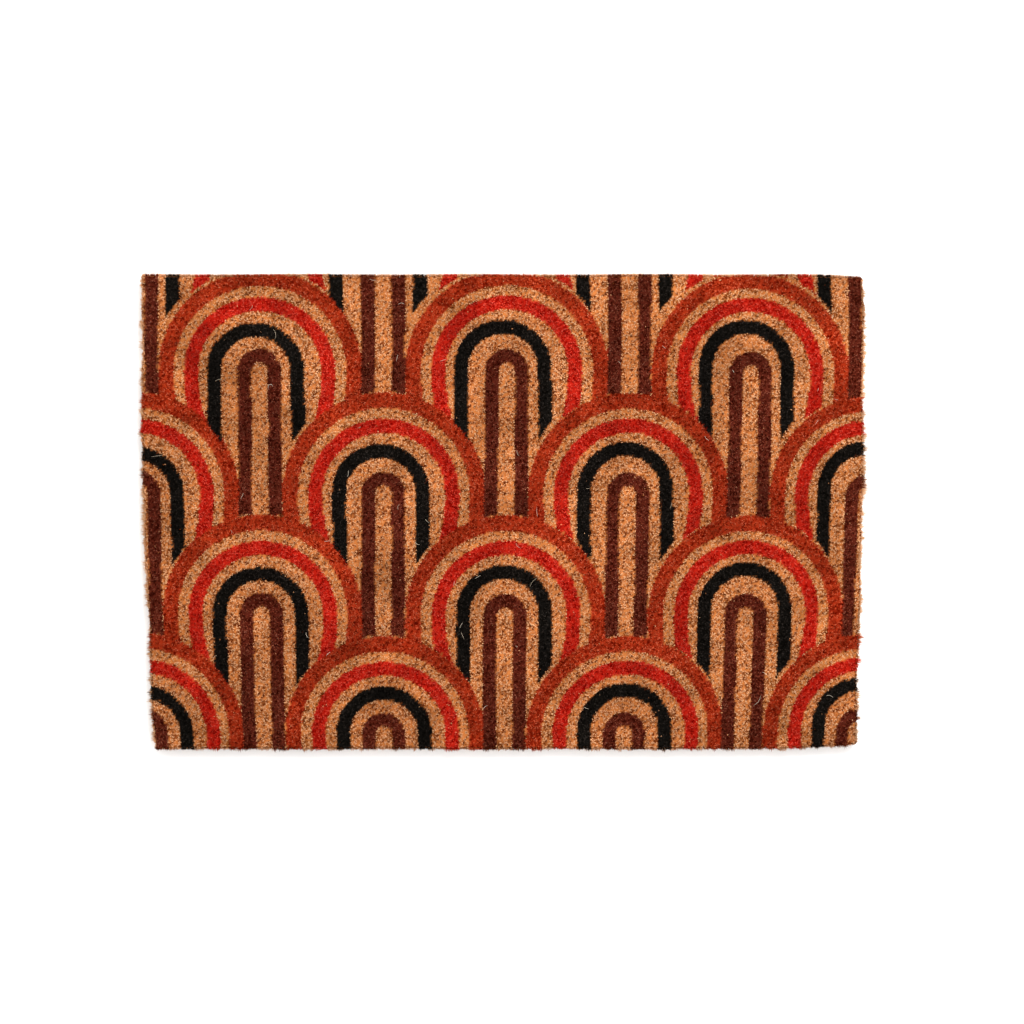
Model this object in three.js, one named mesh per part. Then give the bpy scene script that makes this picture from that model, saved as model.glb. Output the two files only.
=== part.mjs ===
// Coir doormat: one flat slab of short, densely set and sheared coir pile, lying on the floor.
// Millimetres, +Z up. +Y points to the mat's wider end edge and +X to the right when it is
// seen from above. The origin lies on the floor under the middle of the mat's outer box.
import * as THREE from 'three';

// Overall size, measured between the tips of the outermost fibres.
const WIDTH = 608;
const LENGTH = 400;
const HEIGHT = 15;

// The sides run parallel above this line and draw in below it, more on the left.
const TAPER_LINE = 35;
const LEFT_TAPER = 10.5;
const RIGHT_TAPER = 6;

// The right-hand ends of the two end edges fall away from the straight cut.
const TOP_DROOP = 2.2;
const TOP_DROOP_REACH = 70;
const FOOT_LIFT = 4;
const FOOT_LIFT_REACH = 110;

// Rounding of the four corners, seen from above.
const CORNER_RADIUS = 3;

// The knife's wander along the two sides, and the slower wander of the end edges.
const SIDE_WAVES = [
  { size: 0.55, pitch: 118, shift: 0.4 },
  { size: 0.3, pitch: 47, shift: 1.9 },
];
const END_WAVES = [{ size: 0.25, pitch: 143, shift: 2.6 }];

// The rim from the floor up: the solid foot of the pile stands back from the tips, which
// splay outwards, and the shears leave a rounded shoulder.
const RIM = [
  { inset: 2.4, height: 0 },
  { inset: 2.2, height: 2 },
  { inset: 1.1, height: 6 },
  { inset: 0.3, height: 10 },
  { inset: 0, height: 12.4 },
  { inset: 0.8, height: 14.2 },
  { inset: 2.8, height: 15 },
];

// The sheared face is not quite level: shallow hollows, each wave running its own way.
const FACE_WAVES = [
  { depth: 0.35, acrossPitch: 190, alongPitch: 310, shift: 0.8 },
  { depth: 0.25, acrossPitch: -96, alongPitch: 128, shift: 2.1 },
];

// Spacing of the face's points: close together at the rim, for the round corners.
const RIM_STEPS = [0, 1.6, 3.2, 5.6, 10];
const FACE_STEP = 16;

const COIR_COLOUR = 0xc98a55;

const TURN = 2 * Math.PI;

// How far a value has gone from a start towards an end, from 0 to 1.
function share(value, start, end) {
  return THREE.MathUtils.clamp((value - start) / (end - start), 0, 1);
}

// Sum of the waves at a place along an edge.
function wander(waves, place) {
  return waves.reduce((sum, wave) => sum + wave.size * Math.sin(TURN * place / wave.pitch + wave.shift), 0);
}

// How far below the sheared height the pile ends at a place on the face.
function hollow(x, y) {
  return FACE_WAVES.reduce((sum, wave) => {
    const phase = TURN * (x / wave.acrossPitch + y / wave.alongPitch) + wave.shift;
    return sum + wave.depth * (0.5 - 0.5 * Math.sin(phase));
  }, 0);
}

// Takes a point of the plain rectangle to the rounded corner it belongs to, if any.
function roundCorner(x, y) {
  const overX = Math.abs(x) - (WIDTH / 2 - CORNER_RADIUS);
  const overY = Math.abs(y) - (LENGTH / 2 - CORNER_RADIUS);
  if (overX <= 0 || overY <= 0) {
    return [x, y];
  }
  const shareX = overX / CORNER_RADIUS;
  const shareY = overY / CORNER_RADIUS;
  const backX = overX * (1 - Math.sqrt(1 - shareY * shareY / 2));
  const backY = overY * (1 - Math.sqrt(1 - shareX * shareX / 2));
  return [x - Math.sign(x) * backX, y - Math.sign(y) * backY];
}

// How far an end edge leaves the straight cut at a place across the mat.
function endDrop(x, size, reach) {
  const along = share(x, WIDTH / 2 - reach, WIDTH / 2);
  return size * along * along;
}

// Takes a point of the plain rectangle to its place on the real, uneven mat.
function settle(plainX, plainY) {
  const [x, y] = roundCorner(plainX, plainY);
  const top = endDrop(x, TOP_DROOP, TOP_DROOP_REACH);
  const foot = endDrop(x, FOOT_LIFT, FOOT_LIFT_REACH);
  const upwards = share(y, -LENGTH / 2, LENGTH / 2);
  const settledY = y - top * upwards + foot * (1 - upwards) + wander(END_WAVES, x) * (2 * upwards - 1);
  const taper = share(settledY, TAPER_LINE, -LENGTH / 2);
  const rightwards = share(x, -WIDTH / 2, WIDTH / 2);
  const left = LEFT_TAPER * taper + wander(SIDE_WAVES, settledY);
  const right = RIGHT_TAPER * taper + wander(SIDE_WAVES, -settledY);
  return [x + left * (1 - rightwards) - right * rightwards, settledY];
}

// Places across one side of the plain rectangle, from -half to half.
function gridLines(half) {
  const inner = half - RIM_STEPS.at(-1);
  const cells = Math.round(2 * inner / FACE_STEP);
  const middle = Array.from({ length: cells - 1 }, (_, i) => -inner + 2 * inner * (i + 1) / cells);
  const upper = RIM_STEPS.map((step) => half - step).reverse();
  const lower = RIM_STEPS.map((step) => step - half);
  return [...lower, ...middle, ...upper];
}

// The slab as one closed surface: a flat underside, the rim's rings and the sheared face.
function matGeometry() {
  const across = gridLines(WIDTH / 2);
  const along = gridLines(LENGTH / 2);
  const lastX = across.length - 1;
  const lastY = along.length - 1;

  // The border of the grid, once round, seen from above against the clock.
  const border = [];
  for (let i = 0; i < lastX; i += 1) {
    border.push([i, 0]);
  }
  for (let j = 0; j < lastY; j += 1) {
    border.push([lastX, j]);
  }
  for (let i = lastX; i > 0; i -= 1) {
    border.push([i, lastY]);
  }
  for (let j = lastY; j > 0; j -= 1) {
    border.push([0, j]);
  }

  const points = [];
  const faces = [];
  const addPoint = (i, j, { inset, height }) => {
    const plainX = across[i] * (1 - 2 * inset / WIDTH);
    const plainY = along[j] * (1 - 2 * inset / LENGTH);
    const [x, y] = settle(plainX, plainY);
    points.push([x, y, height * (1 - hollow(x, y) / HEIGHT)]);
    return points.length - 1;
  };

  // The rings of the rim, each joined to the one below it.
  const rings = RIM.map((level) => border.map(([i, j]) => addPoint(i, j, level)));
  for (let r = 1; r < rings.length; r += 1) {
    for (let k = 0; k < border.length; k += 1) {
      const next = (k + 1) % border.length;
      const [low, high] = [rings[r - 1], rings[r]];
      faces.push([low[k], low[next], high[next]], [low[k], high[next], high[k]]);
    }
  }

  // The face takes the top ring as its border and adds the points inside it.
  const face = new Map(border.map(([i, j], k) => [`${i} ${j}`, rings.at(-1)[k]]));
  const faceLevel = RIM.at(-1);
  for (let j = 1; j < lastY; j += 1) {
    for (let i = 1; i < lastX; i += 1) {
      face.set(`${i} ${j}`, addPoint(i, j, faceLevel));
    }
  }
  for (let j = 0; j < lastY; j += 1) {
    for (let i = 0; i < lastX; i += 1) {
      const near = face.get(`${i} ${j}`);
      const right = face.get(`${i + 1} ${j}`);
      const far = face.get(`${i + 1} ${j + 1}`);
      const up = face.get(`${i} ${j + 1}`);
      faces.push([near, right, far], [near, far, up]);
    }
  }

  // The underside closes the lowest ring, flat on the floor.
  const outline = rings[0].map((index) => new THREE.Vector2(points[index][0], points[index][1]));
  for (const [a, b, c] of THREE.ShapeUtils.triangulateShape(outline, [])) {
    faces.push([rings[0][c], rings[0][b], rings[0][a]]);
  }

  const geometry = new THREE.BufferGeometry();
  geometry.setAttribute('position', new THREE.Float32BufferAttribute(points.flat(), 3));
  geometry.setIndex(faces.flat());
  return geometry;
}

// Moves a geometry sideways until the middle of its box is over the origin.
function centre(geometry) {
  geometry.computeBoundingBox();
  const middle = geometry.boundingBox.getCenter(new THREE.Vector3());
  geometry.translate(-middle.x, -middle.y, 0);
  geometry.computeVertexNormals();
  return geometry;
}

const coir = new THREE.MeshStandardMaterial({ color: COIR_COLOUR, roughness: 1, metalness: 0 });

const mat = new THREE.Mesh(centre(matGeometry()), coir);
mat.name = 'coir_mat';

const doormat = new THREE.Group();
doormat.name = 'doormat';
doormat.add(mat);

export default doormat;
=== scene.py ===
"""Looks of the coir doormat: sheared pile, printed arches, frayed edges, base and studio.

The mat lies on the floor with +Y towards its wider end edge and +Z up. Sizes in this file are
in millimetres and are turned to metres where a mesh is made.
"""

import logging
import math
from dataclasses import dataclass, field
from enum import Enum

import bpy
import numpy as np
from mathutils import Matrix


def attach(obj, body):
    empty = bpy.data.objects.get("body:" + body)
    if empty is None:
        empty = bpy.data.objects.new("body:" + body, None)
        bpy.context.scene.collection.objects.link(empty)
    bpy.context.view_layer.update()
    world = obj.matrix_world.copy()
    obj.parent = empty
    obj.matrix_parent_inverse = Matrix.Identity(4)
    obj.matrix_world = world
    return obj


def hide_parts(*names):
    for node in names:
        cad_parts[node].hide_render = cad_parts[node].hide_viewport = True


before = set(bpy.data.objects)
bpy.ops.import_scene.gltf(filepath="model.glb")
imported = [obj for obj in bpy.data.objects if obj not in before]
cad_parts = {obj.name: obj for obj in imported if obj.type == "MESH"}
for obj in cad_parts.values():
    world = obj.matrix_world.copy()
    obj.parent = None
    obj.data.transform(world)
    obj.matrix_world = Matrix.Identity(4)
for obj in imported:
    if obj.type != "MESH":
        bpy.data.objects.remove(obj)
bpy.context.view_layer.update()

LOG = logging.getLogger("doormat")
MM = 0.001
TURN = 2 * math.pi

# The widest patches of lighter and darker husk, in millimetres.
HUSK_PATCH = 35.0


class Ink(Enum):
    """What a fibre carries at its cut end: nothing, or one of the four screens' inks."""

    NATURAL = 0
    RUST = 1
    RED = 2
    BROWN = 3
    BLACK = 4


def share(value: np.ndarray, start: float, end: float) -> np.ndarray:
    """Say how far values have gone from a start towards an end.

    Args:
        value: The values, in any unit.
        start: The value that counts as 0.
        end: The value that counts as 1.

    Returns:
        The share of the way, kept from 0 to 1.
    """
    return np.clip((value - start) / (end - start), 0, 1)


def hex_to_linear(code: str) -> tuple[float, float, float, float]:
    """Turn an sRGB hex colour into the linear colour that a shader reads.

    Args:
        code: Six hex digits.

    Returns:
        Red, green, blue and an alpha of 1.
    """
    channels = [int(code[i : i + 2], 16) / 255 for i in (0, 2, 4)]
    linear = [c / 12.92 if c <= 0.04045 else ((c + 0.055) / 1.055) ** 2.4 for c in channels]
    return linear[0], linear[1], linear[2], 1.0


def add_node(
    tree: bpy.types.NodeTree,
    kind: str,
    settings: dict[str, object] | None = None,
    inputs: dict[str | int, object] | None = None,
) -> bpy.types.Node:
    """Add one node with its settings, and fill or link its inputs.

    Args:
        tree: The node tree that gets the node.
        kind: The node's type.
        settings: Properties of the node by name.
        inputs: Sockets to link from, or plain values, by the input's name or number.

    Returns:
        The new node.
    """
    node = tree.nodes.new(kind)
    for name, value in (settings or {}).items():
        setattr(node, name, value)
    for name, value in (inputs or {}).items():
        if isinstance(value, bpy.types.NodeSocket):
            tree.links.new(value, node.inputs[name])
        else:
            node.inputs[name].default_value = value
    return node


def set_stops(ramp: bpy.types.Node, stops: list[tuple[float, str]]) -> None:
    """Give a colour ramp its stops.

    Args:
        ramp: The ramp's node, as it comes with two stops.
        stops: Each stop's place and its sRGB hex colour, from low to high.
    """
    elements = ramp.color_ramp.elements
    while len(elements) < len(stops):
        elements.new(1.0)
    for element, (place, colour) in zip(elements, stops):
        element.position = place
        element.color = hex_to_linear(colour)


def start_material(
    name: str,
) -> tuple[bpy.types.Material, bpy.types.NodeTree, bpy.types.NodeSocket]:
    """Start a material with an empty node tree.

    Args:
        name: The material's name.

    Returns:
        The material, its tree, and the Object coordinates of the piece that wears it.
    """
    made = bpy.data.materials.new(name)
    made.use_nodes = True
    tree = made.node_tree
    tree.nodes.clear()
    return made, tree, add_node(tree, "ShaderNodeTexCoord").outputs["Object"]


def blotches(
    tree: bpy.types.NodeTree, place: bpy.types.NodeSocket, spread: float
) -> bpy.types.NodeSocket:
    """Add the slow changes of shade over the mat, from 35 mm patches down to tufts of 2 mm.

    A bale of husk is lighter or darker in places, and the ink takes more or less on it.

    Args:
        tree: The node tree that gets them.
        place: The coordinates of the piece.
        spread: How far the shade strays to either side.

    Returns:
        A factor around 1 for the brightness of the colour.
    """
    noise = add_node(
        tree,
        "ShaderNodeTexNoise",
        inputs={
            "Vector": place,
            "Scale": 1 / (HUSK_PATCH * MM),
            "Detail": 4.0,
            "Roughness": 0.66,
        },
    )
    level = add_node(
        tree,
        "ShaderNodeMapRange",
        inputs={
            "Value": noise.outputs["Fac"],
            "From Min": 0.3,
            "From Max": 0.7,
            "To Min": 1 - spread,
            "To Max": 1 + spread,
        },
    )
    return level.outputs["Result"]


@dataclass(frozen=True)
class Surface:
    """The surface of a finish: its roughness, its relief, in millimetres deep, and its gloss."""

    roughness: float
    unevenness: float
    strength: float
    depth: float
    specular: float

    def add(
        self,
        tree: bpy.types.NodeTree,
        colour: bpy.types.NodeSocket,
        rough: bpy.types.NodeSocket,
        height: bpy.types.NodeSocket,
    ) -> None:
        """Add the surface's shader and the material's output.

        Args:
            tree: The node tree that gets them.
            colour: The colour of the surface.
            rough: The pattern that its roughness follows, from 0 to 1.
            height: The pattern that its relief follows, from 0 to 1.
        """
        roughness = add_node(
            tree,
            "ShaderNodeMapRange",
            inputs={
                "Value": rough,
                "To Min": self.roughness - self.unevenness,
                "To Max": min(1.0, self.roughness + self.unevenness),
            },
        )
        bump = add_node(
            tree,
            "ShaderNodeBump",
            inputs={"Height": height, "Strength": self.strength, "Distance": self.depth * MM},
        )
        shader = add_node(
            tree,
            "ShaderNodeBsdfPrincipled",
            inputs={
                "Base Color": colour,
                "Roughness": roughness.outputs["Result"],
                "Specular IOR Level": self.specular,
                "Normal": bump.outputs["Normal"],
            },
        )
        add_node(tree, "ShaderNodeOutputMaterial", inputs={"Surface": shader.outputs["BSDF"]})


@dataclass(frozen=True)
class CoirFinish:
    """Coconut coir, retted, sheared and bare or screen printed with pigment ink.

    Coir is matt and hard, and no two fibres have the same brown. The ink sits on the cut ends.
    Each fibre darkens from its cut end to its root with painted shade and dust, so the pile is
    darker between its tips than on them. The deep colour reaches up the fibre by the share foot,
    and grain is the size of its pith.
    """

    name: str
    # The colour at the root: painted shade and dust.
    deep: str
    dark: str
    middle: str
    light: str
    roughness: float
    specular: float
    blotch: float
    foot: float = 0.4
    grain: float = 0.4

    def material(self) -> bpy.types.Material:
        """Make the finish's material.

        Returns:
            A material that reads the pile's own attributes tone and rise.
        """
        made, tree, place = start_material(self.name)
        tone = add_node(tree, "ShaderNodeAttribute", {"attribute_name": "tone"}).outputs["Fac"]
        rise = add_node(tree, "ShaderNodeAttribute", {"attribute_name": "rise"}).outputs["Fac"]

        # Each fibre's own shade, from the darkest husk to the palest.
        ramp = add_node(tree, "ShaderNodeValToRGB", inputs={"Fac": tone})
        set_stops(ramp, [(0.0, self.dark), (0.5, self.middle), (1.0, self.light)])

        shaded = add_node(
            tree,
            "ShaderNodeHueSaturation",
            inputs={"Color": ramp.outputs["Color"], "Value": blotches(tree, place, self.blotch)},
        )

        # The lower part of each fibre, darker than its cut end with painted shade and dust.
        painted_root_shade = add_node(
            tree,
            "ShaderNodeMapRange",
            {"interpolation_type": "SMOOTHSTEP"},
            {"Value": rise, "From Min": 0.0, "From Max": self.foot},
        )
        colour = add_node(
            tree,
            "ShaderNodeMix",
            {"data_type": "RGBA"},
            {0: painted_root_shade.outputs["Result"], 6: hex_to_linear(self.deep), 7: shaded.outputs["Color"]},
        )

        # Pith left on the husk roughens the fibre.
        grain = add_node(
            tree,
            "ShaderNodeTexNoise",
            inputs={"Vector": place, "Scale": 1 / (self.grain * MM), "Detail": 1.0},
        )
        pith = grain.outputs["Fac"]
        surface = Surface(self.roughness, 0.12, strength=0.3, depth=0.1, specular=self.specular)
        surface.add(tree, colour.outputs[2], pith, pith)
        return made


@dataclass(frozen=True)
class RootFinish:
    """The roots of the pile, packed and matted, in a darker tint of the print above them.

    The darker tint is painted shade. They are rougher and duller than the cut ends and lie in their
    shade, so they read as the dark between the fibres.
    """

    name: str = "coir roots, packed"
    strand: float = 0.8
    roughness: float = 0.85
    blotch: float = 0.3

    def material(self) -> bpy.types.Material:
        """Make the finish's material.

        Returns:
            A material that reads the base's own attribute tint.
        """
        made, tree, place = start_material(self.name)
        tint = add_node(tree, "ShaderNodeAttribute", {"attribute_name": "tint"})
        strands = add_node(
            tree,
            "ShaderNodeTexNoise",
            inputs={"Vector": place, "Scale": 1 / (self.strand * MM), "Detail": 2.0},
        )
        shaded = add_node(
            tree,
            "ShaderNodeHueSaturation",
            inputs={"Color": tint.outputs["Color"], "Value": blotches(tree, place, self.blotch)},
        )
        matting = strands.outputs["Fac"]
        surface = Surface(self.roughness, 0.1, strength=0.6, depth=0.4, specular=0.02)
        surface.add(tree, shaded.outputs["Color"], matting, matting)
        return made


@dataclass(frozen=True)
class VinylBaseFinish:
    """Vinyl poured over the roots of the pile: dull, tan from the dust of the coir, pebbled."""

    name: str = "vinyl base, poured, pebbled"
    hollow: str = "5a4632"
    top: str = "7a6248"
    pebble: float = 2.2
    dust_patch: float = 30.0
    roughness: float = 0.62

    def material(self) -> bpy.types.Material:
        """Make the finish's material.

        Returns:
            A material with its pebbles at their real size.
        """
        made, tree, place = start_material(self.name)
        pebbles = add_node(
            tree,
            "ShaderNodeTexVoronoi",
            {"feature": "SMOOTH_F1"},
            {"Vector": place, "Scale": 1 / (self.pebble * MM), "Smoothness": 0.6},
        )
        dust = add_node(
            tree,
            "ShaderNodeTexNoise",
            inputs={"Vector": place, "Scale": 1 / (self.dust_patch * MM), "Detail": 4.0},
        )
        height = add_node(
            tree,
            "ShaderNodeMapRange",
            inputs={
                "Value": pebbles.outputs["Distance"],
                "From Max": 0.7,
                "To Min": 1.0,
                "To Max": 0.0,
            },
        )
        colour = add_node(
            tree,
            "ShaderNodeMix",
            {"data_type": "RGBA"},
            {0: dust.outputs["Fac"], 6: hex_to_linear(self.hollow), 7: hex_to_linear(self.top)},
        )
        surface = Surface(self.roughness, 0.1, strength=0.5, depth=0.3, specular=0.4)
        surface.add(tree, colour.outputs[2], dust.outputs["Fac"], height.outputs["Result"])
        return made


FINISHES = {
    Ink.NATURAL: CoirFinish(
        "natural coir, sheared", "a66232", "501600", "d0976b", "cca27b", 0.8, 0.0, 0.33
    ),
    Ink.RUST: CoirFinish(
        "coir, rust pigment ink", "84250e", "5e0800", "a83b1c", "bc6248", 0.85, 0.0, 0.46
    ),
    Ink.RED: CoirFinish(
        "coir, red pigment ink", "94180c", "7c0200", "be3322", "c64e42", 0.85, 0.0, 0.41
    ),
    Ink.BROWN: CoirFinish(
        "coir, dark brown pigment ink", "47180e", "2b0400", "672c1c", "7e4a3a", 0.85, 0.0, 0.44
    ),
    Ink.BLACK: CoirFinish(
        "coir, black pigment ink", "0c0a08", "060402", "1c1713", "322c28", 0.85, 0.02, 0.55
    ),
}
LOOSE_FINISH = CoirFinish(
    "loose coir, bleached", "5c5044", "988870", "c0b098", "e4d8c4", 0.6, 0.2, 0.03
)


@dataclass(frozen=True)
class Wave:
    """One slow wave of an edge, in millimetres and radians."""

    size: float
    pitch: float
    shift: float


@dataclass(frozen=True)
class Hollow:
    """One wave of the sheared face, which is not quite level, in millimetres and radians."""

    depth: float
    across_pitch: float
    along_pitch: float
    shift: float


@dataclass(frozen=True)
class MatOutline:
    """The cut of the mat: a plain rectangle taken to the uneven shape of the real one.

    The droop and the lift are each a size and how far it reaches in from the right-hand end.
    """

    width: float = 608.0
    length: float = 400.0
    height: float = 15.0
    taper_line: float = 35.0
    left_taper: float = 10.5
    right_taper: float = 6.0
    top_droop: tuple[float, float] = (2.2, 70.0)
    foot_lift: tuple[float, float] = (4.0, 110.0)
    corner_radius: float = 3.0
    side_waves: tuple[Wave, ...] = (Wave(0.55, 118.0, 0.4), Wave(0.3, 47.0, 1.9))
    end_waves: tuple[Wave, ...] = (Wave(0.25, 143.0, 2.6),)
    hollows: tuple[Hollow, ...] = (Hollow(0.35, 190.0, 310.0, 0.8), Hollow(0.25, -96.0, 128.0, 2.1))
    centre: tuple[float, float] = (0.0, 0.0)

    def wander(self, waves: tuple[Wave, ...], place: np.ndarray) -> np.ndarray:
        """Add up the waves of an edge at places along it."""
        return sum(w.size * np.sin(TURN * place / w.pitch + w.shift) for w in waves)

    def end_drop(self, x: np.ndarray, drop: tuple[float, float]) -> np.ndarray:
        """Say how far an end edge leaves the straight cut towards its right-hand end."""
        size, reach = drop
        return size * share(x, self.width / 2 - reach, self.width / 2) ** 2

    def settle(self, x: np.ndarray, y: np.ndarray) -> tuple[np.ndarray, np.ndarray]:
        """Take points of the plain rectangle to their places on the mat.

        Args:
            x: Places across the rectangle.
            y: Places along the rectangle.

        Returns:
            The places across and along the real, uneven mat.
        """
        radius = self.corner_radius
        over_x = np.clip(np.abs(x) - (self.width / 2 - radius), 0, None)
        over_y = np.clip(np.abs(y) - (self.length / 2 - radius), 0, None)
        back_x = over_x * (1 - np.sqrt(np.clip(1 - (over_y / radius) ** 2 / 2, 0, None)))
        back_y = over_y * (1 - np.sqrt(np.clip(1 - (over_x / radius) ** 2 / 2, 0, None)))
        x = x - np.sign(x) * back_x
        y = y - np.sign(y) * back_y
        upwards = share(y, -self.length / 2, self.length / 2)
        settled = (
            y
            - self.end_drop(x, self.top_droop) * upwards
            + self.end_drop(x, self.foot_lift) * (1 - upwards)
            + self.wander(self.end_waves, x) * (2 * upwards - 1)
        )
        taper = share(settled, self.taper_line, -self.length / 2)
        rightwards = share(x, -self.width / 2, self.width / 2)
        left = self.left_taper * taper + self.wander(self.side_waves, settled)
        right = self.right_taper * taper + self.wander(self.side_waves, -settled)
        across = x + left * (1 - rightwards) - right * rightwards
        return across - self.centre[0], settled - self.centre[1]

    def hollow(self, x: np.ndarray, y: np.ndarray) -> np.ndarray:
        """Say how far below the full height the shears left the pile.

        Args:
            x: Places across the mat.
            y: Places along the mat.

        Returns:
            The drop at each place.
        """
        drop = np.zeros(np.shape(x))
        for wave in self.hollows:
            phase = TURN * (x / wave.across_pitch + y / wave.along_pitch) + wave.shift
            drop += wave.depth * (0.5 - 0.5 * np.sin(phase))
        return drop

    def centred(self) -> "MatOutline":
        """Make the same cut with the middle of its box over the origin.

        Returns:
            An outline whose points lie where the solid's do.
        """
        along = np.linspace(-1, 1, 2001)
        side = np.ones(along.size)
        x = np.concatenate([along, along, side, -side])
        y = np.concatenate([side, -side, along, along])
        across, settled = self.settle(x * self.width / 2, y * self.length / 2)
        middle = (across.min() + across.max()) / 2, (settled.min() + settled.max()) / 2
        return MatOutline(centre=middle)


@dataclass(frozen=True)
class Screen:
    """One colour's printing screen: its ring of the arch, and how it lay off its neighbours.

    Its top gap is how far the row above stays clear of the top row's arches.
    """

    ink: Ink
    inner: float
    outer: float
    legs: bool
    shift: tuple[float, float] = (0.0, 0.0)
    turn: float = 0.0
    top_gap: float = 2.5


@dataclass(frozen=True)
class ArchRepeat:
    """The print: rows of concentric arches, each row half a repeat aside and over the last.

    Below its middle an arch draws in slowly: a step down counts there by the root of squat. The
    print grows wider towards the top, by the share spread for each millimetre.
    """

    across: float = 204.4
    along: float = 101.8
    first_middle: float = 2.4
    first_row: float = 117.0
    radius: float = 84.3
    leg_half_width: float = 41.0
    half_width: float = 300.0
    half_length: float = 200.0
    squat: float = 0.35
    spread: float = 0.000075
    rows: tuple[int, ...] = (-1, 0, 1, 2, 3)
    screens: tuple[Screen, ...] = (
        Screen(Ink.RUST, 71.4, 84.4, False, (0.1, 0.25), -0.0012),
        Screen(Ink.RED, 50.9, 62.7, False, (0.2, 0.5), 0.0021),
        Screen(Ink.BROWN, 6.8, 18.2, True, (-0.4, 0.7), -0.0026, 0.0),
        Screen(Ink.BLACK, 28.8, 40.6, True, (-2.3, 2.5), 0.0098),
    )
    # The mat lay a little out of true under the screens. Each entry is a pull in millimetres,
    # and the powers of the shares of the half width and half length that it grows with.
    pull_across: tuple[tuple[float, int, int], ...] = (
        (0.9, 0, 0),
        (-0.8, 7, 0),
        (2.1, 1, 0),
        (-2.9, 2, 0),
        (-2.2, 3, 0),
        (1.2, 0, 1),
        (-0.4, 0, 2),
        (-0.6, 0, 3),
        (-0.2, 1, 1),
        (-0.4, 2, 1),
        (-1.3, 1, 4),
        (1.2, 3, 1),
        (-1.7, 3, 2),
    )
    pull_along: tuple[tuple[float, int, int], ...] = (
        (-0.8, 0, 0),
        (0.2, 2, 0),
        (-0.8, 3, 0),
        (2.2, 0, 1),
        (2.6, 0, 2),
        (-1.8, 0, 3),
        (-1.3, 1, 1),
        (0.4, 1, 2),
        (-4.0, 2, 1),
    )

    def printed(self, screen: Screen, x: np.ndarray, y: np.ndarray) -> np.ndarray:
        """Say where one screen lets its ink through.

        Args:
            screen: The colour's screen.
            x: Places across the mat.
            y: Places along the mat.

        Returns:
            True where the ink lands.
        """
        x, y = (
            x - screen.shift[0] + screen.turn * y,
            y - screen.shift[1] - screen.turn * x,
        )
        x = (x - self.first_middle) / (1 + self.spread * y)
        found = np.zeros(x.shape, bool)
        for row in self.rows:
            aside = x - (0.5 * self.across if row % 2 else 0.0)
            aside = aside - self.across * np.round(aside / self.across)
            above = y - (self.first_row - self.along * row)
            up = above > 0
            ring = np.hypot(aside, np.where(up, 1.0, math.sqrt(self.squat)) * above)
            straight = np.abs(aside)
            clear = self.radius + (screen.top_gap if row == 0 else 0.0)
            arch = (ring < clear) | (~up & (straight < self.leg_half_width))
            if screen.legs:
                reach = np.where(up, ring, straight)
                band = (screen.inner <= reach) & (reach < screen.outer)
            else:
                band = (screen.inner <= ring) & (ring < screen.outer)
                band &= up | (straight > self.leg_half_width)
            found = np.where(arch, band, found)
        return found

    def ink_at(self, x: np.ndarray, y: np.ndarray) -> np.ndarray:
        """Find the topmost ink at places on the mat.

        Args:
            x: Places across the mat.
            y: Places along the mat.

        Returns:
            The number of each place's ink, with 0 where the coir is bare.
        """
        share_x, share_y = x / self.half_width, y / self.half_length
        x = x - sum(pull * share_x**i * share_y**j for pull, i, j in self.pull_across)
        y = y - sum(pull * share_x**i * share_y**j for pull, i, j in self.pull_along)
        found = np.zeros(np.shape(x), int)
        for screen in self.screens:
            found[self.printed(screen, x, y)] = screen.ink.value
        return found


@dataclass
class Strands:
    """Many fibres at once: where each one is rooted and cut, how thick it is and its shade.

    Low is how far up the fibre its root counts, for the painted shade at its foot.
    """

    root: np.ndarray
    tip: np.ndarray
    half_width: np.ndarray
    tone: np.ndarray
    ink: np.ndarray
    low: np.ndarray
    seed: int = 5

    def columns(self) -> tuple[np.ndarray, ...]:
        """Give what is known of the fibres, in the order of the fields."""
        return self.root, self.tip, self.half_width, self.tone, self.ink, self.low

    def where(self, chosen: np.ndarray) -> "Strands":
        """Keep the chosen fibres alone."""
        return Strands(*(column[chosen] for column in self.columns()))

    def joined(self, other: "Strands") -> "Strands":
        """Put two lots of fibres together."""
        return Strands(*(np.concatenate(two) for two in zip(self.columns(), other.columns())))

    def piece(self, name: str) -> bpy.types.Object:
        """Make one joined mesh, in which each fibre is a slender spike of three faces.

        The foot of a spike is open and lies inside the base of the pile.

        Args:
            name: The piece's name.

        Returns:
            The piece, with the attributes tone and rise and a map for baking.
        """
        count = len(self.root)
        spin = np.random.default_rng(self.seed).uniform(0, TURN, count)
        points = np.empty((count, 4, 3))
        for corner in range(3):
            angle = spin + TURN * corner / 3
            points[:, corner, 0] = self.root[:, 0] + self.half_width * np.cos(angle)
            points[:, corner, 1] = self.root[:, 1] + self.half_width * np.sin(angle)
            points[:, corner, 2] = self.root[:, 2]
        points[:, 3] = self.tip
        first = 4 * np.arange(count)[:, None, None]
        faces = first + np.array([[0, 1, 3], [1, 2, 3], [2, 0, 3]])
        rise = np.concatenate([np.repeat(self.low[:, None], 3, 1), np.ones((count, 1))], 1)
        made = mesh_piece(name, points.reshape(-1, 3), faces.reshape(-1, 3))
        give_numbers(made, "tone", np.repeat(self.tone, 4))
        give_numbers(made, "rise", rise.ravel())
        give_cells(made, count)
        return made


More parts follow.
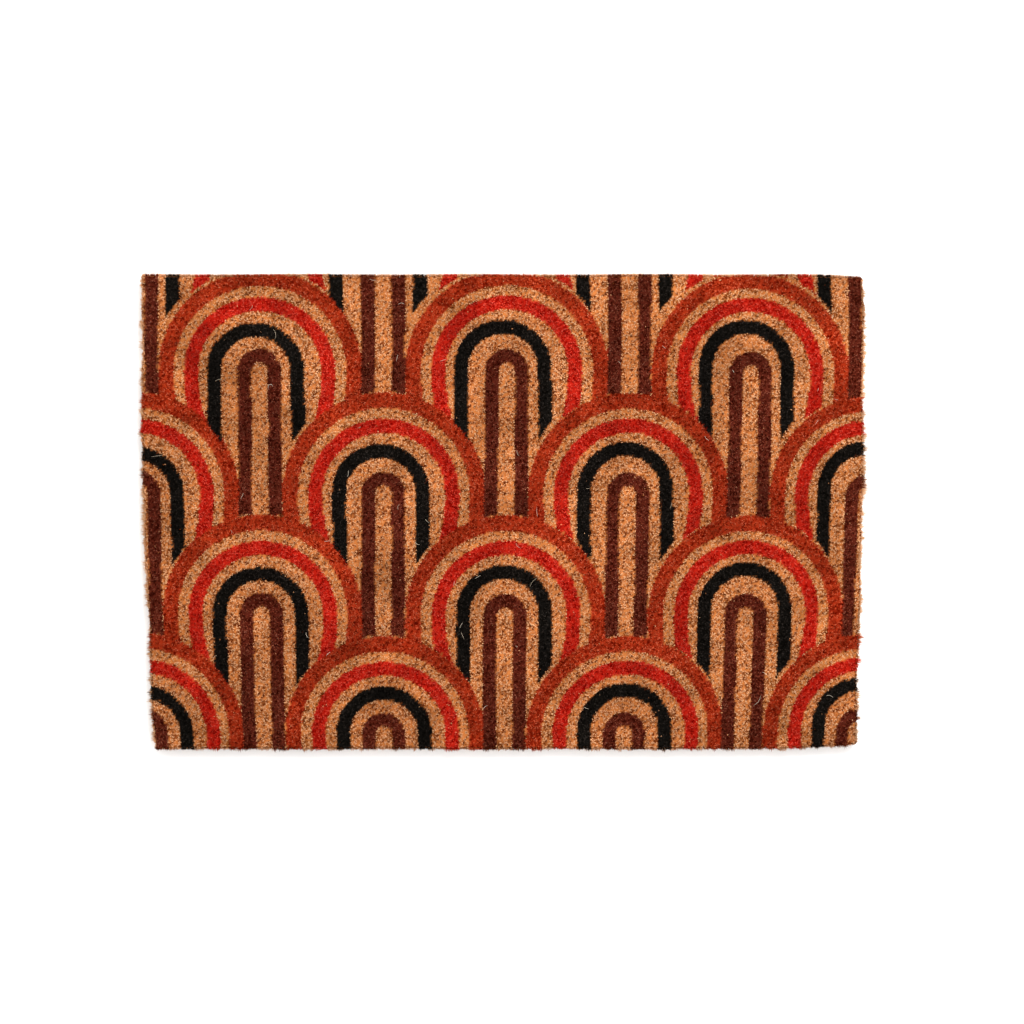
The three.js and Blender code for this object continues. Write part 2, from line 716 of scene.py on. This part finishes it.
def mesh_piece(name: str, points: np.ndarray, *faces: np.ndarray) -> bpy.types.Object:
    """Make a smooth piece from points and faces.

    Args:
        name: The piece's name.
        points: Its points, in millimetres.
        faces: The points of each face, in lots of faces with the same number of sides.

    Returns:
        The piece, linked to the scene and riding on the root body.
    """
    mesh = bpy.data.meshes.new(name)
    mesh.vertices.add(len(points))
    mesh.vertices.foreach_set("co", (points * MM).astype(np.float32).ravel())
    corners = np.concatenate([lot.ravel() for lot in faces])
    sides = np.concatenate([np.full(len(lot), lot.shape[1]) for lot in faces])
    starts = np.cumsum(sides) - sides
    mesh.loops.add(corners.size)
    mesh.loops.foreach_set("vertex_index", corners.astype(np.int32))
    mesh.polygons.add(sides.size)
    mesh.polygons.foreach_set("loop_start", starts.astype(np.int32))
    mesh.update(calc_edges=True)
    mesh.shade_smooth()
    mesh.validate()
    made = bpy.data.objects.new(name, mesh)
    bpy.context.collection.objects.link(made)
    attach(made, "root")
    return made


def give_numbers(piece: bpy.types.Object, name: str, numbers: np.ndarray) -> None:
    """Store one number for each point of a piece, for its material to read."""
    layer = piece.data.attributes.new(name, "FLOAT", "POINT")
    layer.data.foreach_set("value", numbers.astype(np.float32))


def give_colours(piece: bpy.types.Object, name: str, colours: np.ndarray) -> None:
    """Store one linear colour for each point of a piece, for its material to read."""
    layer = piece.data.attributes.new(name, "FLOAT_COLOR", "POINT")
    layer.data.foreach_set("color", colours.astype(np.float32).ravel())


def give_cells(piece: bpy.types.Object, count: int) -> None:
    """Give each fibre a cell of its own on the map for baking.

    Args:
        piece: The piece, with three triangles for each fibre.
        count: How many fibres it has.
    """
    columns = math.ceil(math.sqrt(count))
    cell = np.arange(count)
    corner = np.stack([cell % columns, cell // columns], 1)[:, None, None, :] / columns
    low, middle, high = 0.12, 0.5, 0.88
    shape = np.array([[low, low], [high, low], [middle, high]]) / columns
    places = np.broadcast_to(corner + shape, (count, 3, 3, 2))
    layer = piece.data.uv_layers.new(name="OFBake")
    layer.uv.foreach_set("vector", places.astype(np.float32).ravel())


@dataclass
class ShearPits:
    """Pits in the sheared face, where tufts part and the shade between them shows.

    Each cell of a square grid holds one, and room is the part of the cell that it may lie in.
    """

    outline: MatOutline
    pitch: float = 2.7
    radius: tuple[float, float] = (0.46, 1.0)
    room: tuple[float, float] = (0.1, 0.9)
    seed: int = 17

    def depth_at(self, x: np.ndarray, y: np.ndarray) -> np.ndarray:
        """Say how deep in a pit places on the face lie.

        Args:
            x: Places across the mat.
            y: Places along the mat.

        Returns:
            0 outside every pit, up to 1 in the middle of one.
        """
        rng = np.random.default_rng(self.seed)
        span = math.ceil(self.outline.width / self.pitch) + 2
        aside = rng.uniform(*self.room, (2, span, span))
        radius = rng.uniform(*self.radius, (span, span)) / self.pitch
        across = (x + self.outline.width / 2) / self.pitch
        along = (y + self.outline.length / 2) / self.pitch
        deep = np.zeros(x.size)
        for step_x in (-1, 0, 1):
            for step_y in (-1, 0, 1):
                i = np.floor(across).astype(int) + step_x
                j = np.floor(along).astype(int) + step_y
                cell = i % span, j % span
                away = np.hypot(across - i - aside[0][cell], along - j - aside[1][cell])
                deep = np.maximum(deep, np.exp(-((away / radius[cell]) ** 2)))
        return deep


@dataclass
class FacePile:
    """The sheared face: clumps of fibres whose cut ends lean together, and pits between them.

    Ink mats the fibres, so their ends dip only the share matted as deep. A few are husk, which
    is darker. A tone runs from 0, the darkest fibre, to 1, the palest.
    """

    outline: MatOutline
    repeat: ArchRepeat
    pits: ShearPits
    clump_pitch: float = 2.3
    clump_scatter: float = 0.26
    clump_margin: float = 1.0
    clump_reach: float = 0.62
    fibres: int = 5
    half_width: tuple[float, float] = (0.5, 0.74)
    root_height: float = 12.6
    shortest: float = 0.4
    rim: float = 0.6
    shear_wander: float = 0.6
    raggedness: float = 0.45
    matted: float = 0.7
    gather: float = 0.42
    lean: float = 0.45
    stray: float = 0.35
    fringe: float = 0.3
    missed: float = 0.002
    pit_depth: float = 1.4
    tone: float = 0.6
    clump_tone: float = 0.05
    fibre_tone: float = 0.17
    pit_painted_shade: float = 1.3
    husk_share: float = 0.14
    husk_tone: tuple[float, float] = (0.25, 0.6)
    seed: int = 11

    def clumps(self, rng: np.random.Generator) -> tuple[np.ndarray, np.ndarray]:
        """Place the clumps on a loose honeycomb over the plain rectangle.

        Args:
            rng: The source of the scatter.

        Returns:
            Their places across and along.
        """
        half_x = self.outline.width / 2 - self.clump_margin
        half_y = self.outline.length / 2 - self.clump_margin
        lane = self.clump_pitch * math.sqrt(3) / 2
        x, y = np.meshgrid(
            np.arange(-half_x, half_x, self.clump_pitch), np.arange(-half_y, half_y, lane)
        )
        x[1::2] += self.clump_pitch / 2
        x = x.ravel() + rng.normal(0, self.clump_scatter * self.clump_pitch, x.size)
        y = y.ravel() + rng.normal(0, self.clump_scatter * self.clump_pitch, y.size)
        inside = (np.abs(x) < half_x) & (np.abs(y) < half_y)
        return x[inside], y[inside]

    def strands(self) -> Strands:
        """Grow the fibres of the face.

        Returns:
            All of them, each with the ink that its cut end carries.
        """
        rng = np.random.default_rng(self.seed)
        middle_x, middle_y = self.clumps(rng)
        lift = rng.normal(0, 1, middle_x.size)
        heading = rng.uniform(0, TURN, middle_x.size)
        count = middle_x.size * self.fibres
        middle_x, middle_y, lift, heading = (
            np.repeat(a, self.fibres) for a in (middle_x, middle_y, lift, heading)
        )
        angle = rng.uniform(0, TURN, count)
        reach = self.clump_pitch * self.clump_reach * np.sqrt(rng.uniform(0, 1, count))
        root_x = middle_x + reach * np.cos(angle)
        root_y = middle_y + reach * np.sin(angle)
        tip_x = middle_x + self.gather * reach * np.cos(angle) + self.lean * np.cos(heading)
        tip_y = middle_y + self.gather * reach * np.sin(angle) + self.lean * np.sin(heading)
        tip_x += rng.normal(0, self.stray, count)
        tip_y += rng.normal(0, self.stray, count)
        half_x, half_y = self.outline.width / 2 - self.rim, self.outline.length / 2 - self.rim
        root_x, root_y = np.clip(root_x, -half_x, half_x), np.clip(root_y, -half_y, half_y)
        tip_x, tip_y = np.clip(tip_x, -half_x, half_x), np.clip(tip_y, -half_y, half_y)
        root_x, root_y = self.outline.settle(root_x, root_y)
        tip_x, tip_y = self.outline.settle(tip_x, tip_y)

        # Ink creeps along a fibre and a fibre leans after printing, so the bands fray a little.
        seen_x, seen_y = (root_x + tip_x) / 2, (root_y + tip_y) / 2
        ink = self.repeat.ink_at(
            seen_x + rng.normal(0, self.fringe, count), seen_y + rng.normal(0, self.fringe, count)
        )
        ink[rng.uniform(0, 1, count) < self.missed] = Ink.NATURAL.value
        matted = np.where(ink > 0, self.matted, 1.0)
        pit = self.pits.depth_at(seen_x, seen_y)
        below = np.abs(rng.normal(0, self.raggedness, count)) + np.clip(0.5 - 0.5 * lift, 0, 2)
        top = self.outline.height - self.outline.hollow(tip_x, tip_y)
        tip_z = top - matted * (self.shear_wander * below + self.pit_depth * pit)
        tip_z = np.maximum(tip_z, self.root_height + self.shortest)
        root_z = np.full(count, self.root_height)
        husk = (rng.uniform(0, 1, count) < self.husk_share) * rng.uniform(*self.husk_tone, count)
        tone = self.tone + self.clump_tone * lift + rng.normal(0, self.fibre_tone, count)
        # Fibres in a pit get painted shade: their tone drops with the pit's depth.
        tone = tone - husk - self.pit_painted_shade * pit
        return Strands(
            np.stack([root_x, root_y, root_z], 1),
            np.stack([tip_x, tip_y, tip_z], 1),
            rng.uniform(*self.half_width, count),
            np.clip(tone, 0, 1),
            ink,
            np.zeros(count),
        )


@dataclass(frozen=True)
class CutSide:
    """One side of the mat: its longest tufts, how far inside the cut the rest is, its tone, with
    painted shade on the foot.

    The ink reaches a smaller share of its fibres where they splay out further.
    """

    fray: float
    set_back: float
    tone: float
    inked: float


@dataclass
class EdgePile:
    """The cut sides: fibres that stand from the base and splay outwards past the cut.

    They grow in layers, each with the height of its roots and of its tips. The uneven tufts and
    fibres are random numbers from 0 to 1 raised to a power, so that few of them are long.
    """

    outline: MatOutline
    repeat: ArchRepeat
    spacing: float = 0.32
    layers: tuple[tuple[float, float], ...] = (
        (1.2, 6.0),
        (3.0, 8.5),
        (5.0, 11.0),
        (7.5, 13.2),
        (9.2, 14.6),
    )
    # The foot, the right side, the top and the left side, as the mat is seen from above. The foot's
    # darker tone is painted shade; the top is darker too.
    sides: tuple[CutSide, ...] = (
        CutSide(3.6, 0.6, 0.4, 0.95),
        CutSide(6.4, 0.7, 0.85, 0.85),
        CutSide(0.5, -0.4, 0.5, 1.0),
        CutSide(5.2, 0.8, 0.8, 0.85),
    )
    tuft_pitch: float = 2.7
    tuft_overrun: float = 10.0
    tuft_power: float = 1.4
    fibre_power: float = 1.3
    corner_reach: float = 6.0
    root_corner: float = 0.8
    tip_corner: float = 0.2
    root_inset: tuple[float, float] = (0.9, 2.6)
    root_spread: float = 0.7
    out_spread: float = 0.3
    drift: float = 0.1
    tip_spread: float = 0.7
    below_face: float = 0.15
    inked_above: float = 11.8
    half_width: tuple[float, float] = (0.28, 0.45)
    tone_spread: float = 0.2
    # How far up a fibre its root counts at the floor, and what a mat's height adds to that, for the
    # painted shade at its foot.
    rise_at_floor: float = 0.1
    rise_gain: float = 0.35
    seed: int = 23

    def side(
        self, number: int, along: np.ndarray, inset: np.ndarray
    ) -> tuple[np.ndarray, np.ndarray]:
        """Find places along one side of the plain rectangle.

        Args:
            number: 0 for the foot, 1 for the right side, 2 for the top, 3 for the left side.
            along: Places along it, from its middle.
            inset: How far each one is inside the cut.

        Returns:
            The places across and along the rectangle.
        """
        out_x = self.outline.width / 2 - inset
        out_y = self.outline.length / 2 - inset
        return ((along, -out_y), (out_x, along), (along, out_y), (-out_x, along))[number]

    def strands(self) -> Strands:
        """Grow the fibres of the four sides.

        Returns:
            All of them, with ink only on those that reach the face.
        """
        rng = np.random.default_rng(self.seed)
        grown = None
        for number, side in enumerate(self.sides):
            reach = (self.outline.width if number % 2 == 0 else self.outline.length) / 2
            end = reach + self.tuft_overrun
            knots = np.arange(-end, end, self.tuft_pitch)
            tufts = rng.uniform(0, 1, knots.size) ** self.tuft_power
            for low, high in self.layers:
                count = int(2 * reach / self.spacing)
                along = rng.uniform(-reach + self.root_corner, reach - self.root_corner, count)
                tuft = np.interp(along, knots, tufts)
                inset = rng.uniform(*self.root_inset, count)
                standing = side.fray * tuft * rng.uniform(0, 1, count) ** self.fibre_power
                standing *= share(reach - np.abs(along), 0, self.corner_reach)
                out = rng.normal(side.set_back, self.out_spread, count) - standing
                drift = rng.normal(0, self.drift * (high - low), count)
                root_x, root_y = self.outline.settle(*self.side(number, along, inset))
                tip_along = np.clip(along + drift, self.tip_corner - reach, reach - self.tip_corner)
                tip_x, tip_y = self.outline.settle(*self.side(number, tip_along, out))
                tip_z = np.minimum(
                    high + rng.normal(0, self.tip_spread, count),
                    self.outline.height - self.below_face - self.outline.hollow(tip_x, tip_y),
                )
                inked = (tip_z > self.inked_above) & (rng.uniform(0, 1, count) < side.inked)
                ink = self.repeat.ink_at(tip_x, tip_y) * inked
                root_z = low + rng.uniform(-self.root_spread, self.root_spread, count)
                lot = Strands(
                    np.stack([root_x, root_y, root_z], 1),
                    np.stack([tip_x, tip_y, tip_z], 1),
                    rng.uniform(*self.half_width, count),
                    np.clip(rng.normal(side.tone, self.tone_spread, count), 0, 1),
                    ink,
                    np.full(count, self.rise_at_floor + self.rise_gain * low / self.outline.height),
                )
                grown = lot if grown is None else grown.joined(lot)
        return grown


@dataclass
class MatBase:
    """The ground of the pile, from the flat underside up to the roots of the sheared face."""

    outline: MatOutline
    repeat: ArchRepeat
    pits: ShearPits
    cell: float = 2.4
    ground: float = 13.2
    unevenness: float = 0.2
    pit_depth: float = 1.0
    face_inset: float = 2.4
    # How far inside the cut each ring of the wall lies, and its height, from the top down.
    walls: tuple[tuple[float, float], ...] = (
        (1.9, 10.4),
        (1.7, 8.0),
        (2.0, 4.5),
        (2.4, 1.6),
        (2.6, 0.0),
    )
    seed: int = 31

    def drawn_in(self, x: np.ndarray, y: np.ndarray, inset: float) -> tuple[np.ndarray, np.ndarray]:
        """Draw points of the plain rectangle in towards its middle and take them to the mat."""
        width, length = self.outline.width, self.outline.length
        return self.outline.settle(x * (1 - 2 * inset / width), y * (1 - 2 * inset / length))

    def piece(self, finishes: list[bpy.types.Material]) -> bpy.types.Object:
        """Build the base as one closed mesh and dress it.

        Args:
            finishes: The materials of the roots and of the poured underside.

        Returns:
            The piece, which stands for the CAD solid.
        """
        rng = np.random.default_rng(self.seed)
        half_x, half_y = self.outline.width / 2, self.outline.length / 2
        lines_x = np.linspace(-half_x, half_x, round(2 * half_x / self.cell) + 1)
        lines_y = np.linspace(-half_y, half_y, round(2 * half_y / self.cell) + 1)
        grid_x, grid_y = np.meshgrid(lines_x, lines_y)
        number = np.arange(grid_x.size).reshape(grid_x.shape)

        # The face of the ground, under the sheared fibres.
        x, y = self.drawn_in(grid_x.ravel(), grid_y.ravel(), self.face_inset)
        pit = self.pits.depth_at(x, y)
        z = self.ground - self.outline.hollow(x, y) - self.pit_depth * pit
        z += rng.normal(0, self.unevenness, x.size)
        points = [np.stack([x, y, z], 1)]
        ground = np.stack(
            [number[:-1, :-1], number[:-1, 1:], number[1:, 1:], number[1:, :-1]], -1
        ).reshape(-1, 4)

        # The grid's border, once round against the clock, goes down the wall in rings.
        rim = np.concatenate(
            [number[0, :-1], number[:-1, -1], number[-1, :0:-1], number[:0:-1, 0]]
        )
        rim_x, rim_y = grid_x.ravel()[rim], grid_y.ravel()[rim]
        wall = []
        upper = rim
        for inset, height in self.walls:
            ring_x, ring_y = self.drawn_in(rim_x, rim_y, inset)
            lower = number.size + len(wall) * rim.size + np.arange(rim.size)
            points.append(np.stack([ring_x, ring_y, np.full(rim.size, height)], 1))
            wall.append(np.stack([lower, np.roll(lower, -1), np.roll(upper, -1), upper], 1))
            upper = lower
        underside = upper[::-1][None, :]

        made = mesh_piece(
            "mat_base", np.concatenate(points), ground, np.concatenate(wall), underside
        )

        # The poured vinyl reaches up the lowest two rings of the wall.
        for finish in finishes:
            made.data.materials.append(finish)
        roots = np.zeros(len(ground) + rim.size * (len(self.walls) - 2), np.int32)
        poured = np.ones(2 * rim.size + 1, np.int32)
        made.data.polygons.foreach_set("material_index", np.concatenate([roots, poured]))
        made.data.polygons[-1].use_smooth = False

        # The walls are bare coir. The ground has a darker tint of the ink above it, which is
        # painted shade, and more painted shade in a pit.
        ink = np.zeros(len(made.data.vertices), int)
        ink[: x.size] = self.repeat.ink_at(x, y)
        shade = np.zeros((ink.size, 1))
        shade[: x.size, 0] = pit
        deep = np.array([hex_to_linear(FINISHES[kind].deep) for kind in Ink])[ink]
        dark = np.array([hex_to_linear(FINISHES[kind].dark) for kind in Ink])[ink]
        give_colours(made, "tint", deep + shade * (dark - deep))
        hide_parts("coir_mat")
        return made


@dataclass
class LooseFibres:
    """Long pale fibres that the shears left lying on the face."""

    outline: MatOutline
    thickness: float = 0.18
    joints: int = 9
    # Place across and along and length, then heading and how far the heading turns, in degrees.
    seen: tuple[tuple[float, float, float, float, float], ...] = (
        (-290.3, 47.1, 9.8, 6, 4),
        (-191.2, 149.6, 9.0, 60, 70),
        (-195.4, 105.9, 8.0, 80, 230),
        (-211.3, 171.4, 6.0, 20, 60),
        (-108.8, 195.0, 6.0, -30, 40),
        (-218.9, 13.4, 5.0, 50, 20),
        (25.6, -58.8, 9.6, 84, -60),
        (-20.6, -54.6, 5.4, 45, -30),
        (-34.8, -95.2, 5.2, -138, 28),
        (-33.6, -103.8, 6.2, -74, 14),
        (13.0, -28.6, 6.5, -75, 50),
        (29.0, 0.0, 8.0, -100, 30),
        (-63.4, -7.6, 4.6, -60, 30),
        (70.2, -164.7, 4.6, -50, 50),
        (-14.7, -163.9, 5.0, 60, -40),
        (214.7, -158.8, 11.0, 20, 60),
        (275.2, -154.6, 6.0, 30, -80),
    )
    scattered: int = 46
    scattered_over: float = 0.48
    scattered_length: tuple[float, float] = (2.5, 6.0)
    scattered_turn: float = 60.0
    clearance: float = 0.1
    arching: float = 0.35
    arching_share: tuple[float, float] = (0.2, 1.4)
    tone: tuple[float, float] = (0.3, 1.0)
    seed: int = 41

    def piece(self, finish: bpy.types.Material) -> bpy.types.Object:
        """Lay the fibres on the face as thin closed tubes.

        Args:
            finish: Their material.

        Returns:
            One piece with all of them.
        """
        rng = np.random.default_rng(self.seed)
        fibres = list(self.seen)
        for _ in range(self.scattered):
            place = rng.uniform(-self.scattered_over, self.scattered_over, 2)
            place *= (self.outline.width, self.outline.length)
            length = rng.uniform(*self.scattered_length)
            heading = rng.uniform(0, 360)
            fibres.append((*place, length, heading, rng.normal(0, self.scattered_turn)))
        points, faces, tones = [], [], []
        for x, y, length, heading, turned in fibres:
            start = sum(len(lot) for lot in points)
            ring, quads = self.tube(x, y, length, heading, turned, rng)
            points.append(ring)
            faces.append(quads + start)
            tones.append(np.full(len(ring), rng.uniform(*self.tone)))
        made = mesh_piece("loose_fibres", np.concatenate(points), np.concatenate(faces))
        made.data.materials.append(finish)
        give_numbers(made, "tone", np.concatenate(tones))
        give_numbers(made, "rise", np.ones(len(made.data.vertices)))
        return made

    def tube(
        self,
        x: float,
        y: float,
        length: float,
        heading: float,
        turned: float,
        rng: np.random.Generator,
    ) -> tuple[np.ndarray, np.ndarray]:
        """Make one fibre that lies on the face and closes to a point at both ends.

        Args:
            x: Place of its middle across the mat.
            y: Place of its middle along the mat.
            length: Its length.
            heading: Its direction at the start, in degrees.
            turned: How far it has turned at its end, in degrees.
            rng: The source of its small rises and dips.

        Returns:
            Its points, and its faces as quads of their numbers.
        """
        step = np.linspace(0, 1, self.joints)
        angle = np.radians(heading + turned * step)
        along = np.stack([np.cos(angle), np.sin(angle)], 1) * length / (self.joints - 1)
        spine = np.cumsum(along, 0)
        spine += np.array([x, y]) - spine.mean(0)
        level = self.outline.height - self.outline.hollow(spine[:, 0], spine[:, 1])
        arch = self.arching * np.sin(math.pi * step) * rng.uniform(*self.arching_share)
        z = level + self.clearance + arch
        aside = np.stack([-np.sin(angle), np.cos(angle)], 1)

        # Nearly even in thickness, with blunt ends.
        thick = self.thickness / 2 * np.sin(math.pi * (0.04 + 0.92 * step)) ** 0.3
        rings = []
        for side in range(4):
            turn = TURN * side / 4
            sideways = (math.cos(turn) * thick)[:, None] * aside
            rings.append(np.column_stack([spine + sideways, z + math.sin(turn) * thick]))
        points = np.stack(rings, 1).reshape(-1, 3)
        faces = []
        for joint in range(self.joints - 1):
            for side in range(4):
                low, high = 4 * joint + side, 4 * joint + (side + 1) % 4
                faces.append((low, high, high + 4, low + 4))
        last = 4 * (self.joints - 1)
        faces.append((3, 2, 1, 0))
        faces.append((last, last + 1, last + 2, last + 3))
        return points, np.array(faces)


@dataclass
class Doormat:
    """The whole mat, put together from its base, its pile and its loose fibres.

    The cut is its flat size in metres, as it is sold.
    """

    cut: tuple[float, float] = (0.6, 0.4)
    pieces: list[bpy.types.Object] = field(default_factory=list)

    def build(self) -> None:
        """Build and dress every piece."""
        outline = MatOutline().centred()
        repeat = ArchRepeat()
        finishes = {ink: finish.material() for ink, finish in FINISHES.items()}
        pits = ShearPits(outline)
        below = [RootFinish().material(), VinylBaseFinish().material()]
        base = MatBase(outline, repeat, pits).piece(below)
        face = FacePile(outline, repeat, pits).strands()
        edge = EdgePile(outline, repeat).strands()
        grown = face.joined(edge)
        on_edge = np.arange(len(grown.root)) >= len(face.root)
        bare = grown.ink == Ink.NATURAL.value
        left, right = bare & (grown.root[:, 0] < 0), bare & (grown.root[:, 0] >= 0)
        lots = {
            "bare_pile_left": (left & ~on_edge, Ink.NATURAL),
            "bare_pile_right": (right & ~on_edge, Ink.NATURAL),
            "edge_pile": (bare & on_edge, Ink.NATURAL),
        }
        for ink in list(Ink)[1:]:
            lots[f"{ink.name.lower()}_pile"] = (grown.ink == ink.value, ink)
        for name, (chosen, ink) in lots.items():
            pile = grown.where(chosen).piece(name)
            pile.data.materials.append(finishes[ink])
            self.pieces.append(pile)
        self.pieces.append(LooseFibres(outline).piece(LOOSE_FINISH.material()))
        self.pieces.insert(0, base)


@dataclass
class Studio:
    """The pale floor, the soft lamps and the camera straight above."""

    view_width: float = 860.5
    lens: float = 100.0
    sensor: float = 36.0
    camera_aside: float = 8.0
    pile_top: float = 15.0
    # The lamp's place and width and the floor's side are in metres, and its power in watts.
    key_place: tuple[float, float, float] = (0.5, 1.2, 1.5)
    key_size: float = 1.2
    key_power: float = 37.0
    floor_side: float = 12.0
    floor_colours: tuple[str, str] = ("f6f6f5", "f9f9f8")
    air_strength: float = 1.33

    def build(self) -> None:
        """Make the floor, the lamps, the sky and the camera."""
        self.floor()
        self.lamps()
        self.camera()
        bpy.context.scene.view_settings.view_transform = "Standard"

    def floor(self) -> None:
        """Lay a plain near-white floor under the mat."""
        bpy.ops.object.select_all(action="DESELECT")
        bpy.ops.mesh.primitive_plane_add(size=self.floor_side, location=(0, 0, 0))
        floor = bpy.context.object
        floor.name = "studio_floor"
        made, tree, place = start_material("studio floor, matt white paint")
        noise = add_node(tree, "ShaderNodeTexNoise", inputs={"Vector": place, "Scale": 3.0})
        low, high = (hex_to_linear(code) for code in self.floor_colours)
        colour = add_node(
            tree,
            "ShaderNodeMix",
            {"data_type": "RGBA"},
            {0: noise.outputs["Fac"], 6: low, 7: high},
        )
        shader = add_node(
            tree,
            "ShaderNodeBsdfPrincipled",
            inputs={"Base Color": colour.outputs[2], "Roughness": 0.9, "Specular IOR Level": 0.1},
        )
        add_node(tree, "ShaderNodeOutputMaterial", inputs={"Surface": shader.outputs["BSDF"]})
        floor.data.materials.append(made)

    def lamps(self) -> None:
        """Shine a broad soft lamp from the upper right, and an even light from all around."""
        across, along, up = self.key_place
        bpy.ops.object.light_add(type="AREA", location=self.key_place)
        key = bpy.context.object
        key.name = "key_lamp"
        key.data.shape = "DISK"
        key.data.size = self.key_size
        key.data.energy = self.key_power
        key.visible_camera = False
        key.rotation_euler = (
            0.0,
            math.atan2(math.hypot(across, along), up),
            math.atan2(along, across),
        )
        world = bpy.data.worlds.new("studio air")
        bpy.context.scene.world = world
        world.use_nodes = True
        sky = world.node_tree.nodes["Background"]
        sky.inputs["Color"].default_value = (1.0, 1.0, 1.0, 1.0)
        sky.inputs["Strength"].default_value = self.air_strength

    def camera(self) -> None:
        """Hang the camera straight above, as far off as its long lens needs."""
        away = self.view_width * self.lens / self.sensor
        place = (self.camera_aside * MM, 0.0, (self.pile_top + away) * MM)
        bpy.ops.object.camera_add(location=place, rotation=(0, 0, 0))
        camera = bpy.context.object
        camera.name = "photo_camera"
        camera.data.lens = self.lens
        camera.data.sensor_width = self.sensor
        bpy.context.scene.camera = camera


def main() -> None:
    """Build the mat and the studio, and report each piece."""
    mat = Doormat()
    mat.build()
    for piece in mat.pieces:
        piece.data.calc_loop_triangles()
        LOG.info("%s: %d triangles", piece.name, len(piece.data.loop_triangles))
    Studio().build()


if __name__ == "__main__":
    logging.basicConfig(level=logging.INFO, format="%(name)s: %(message)s")
    main()
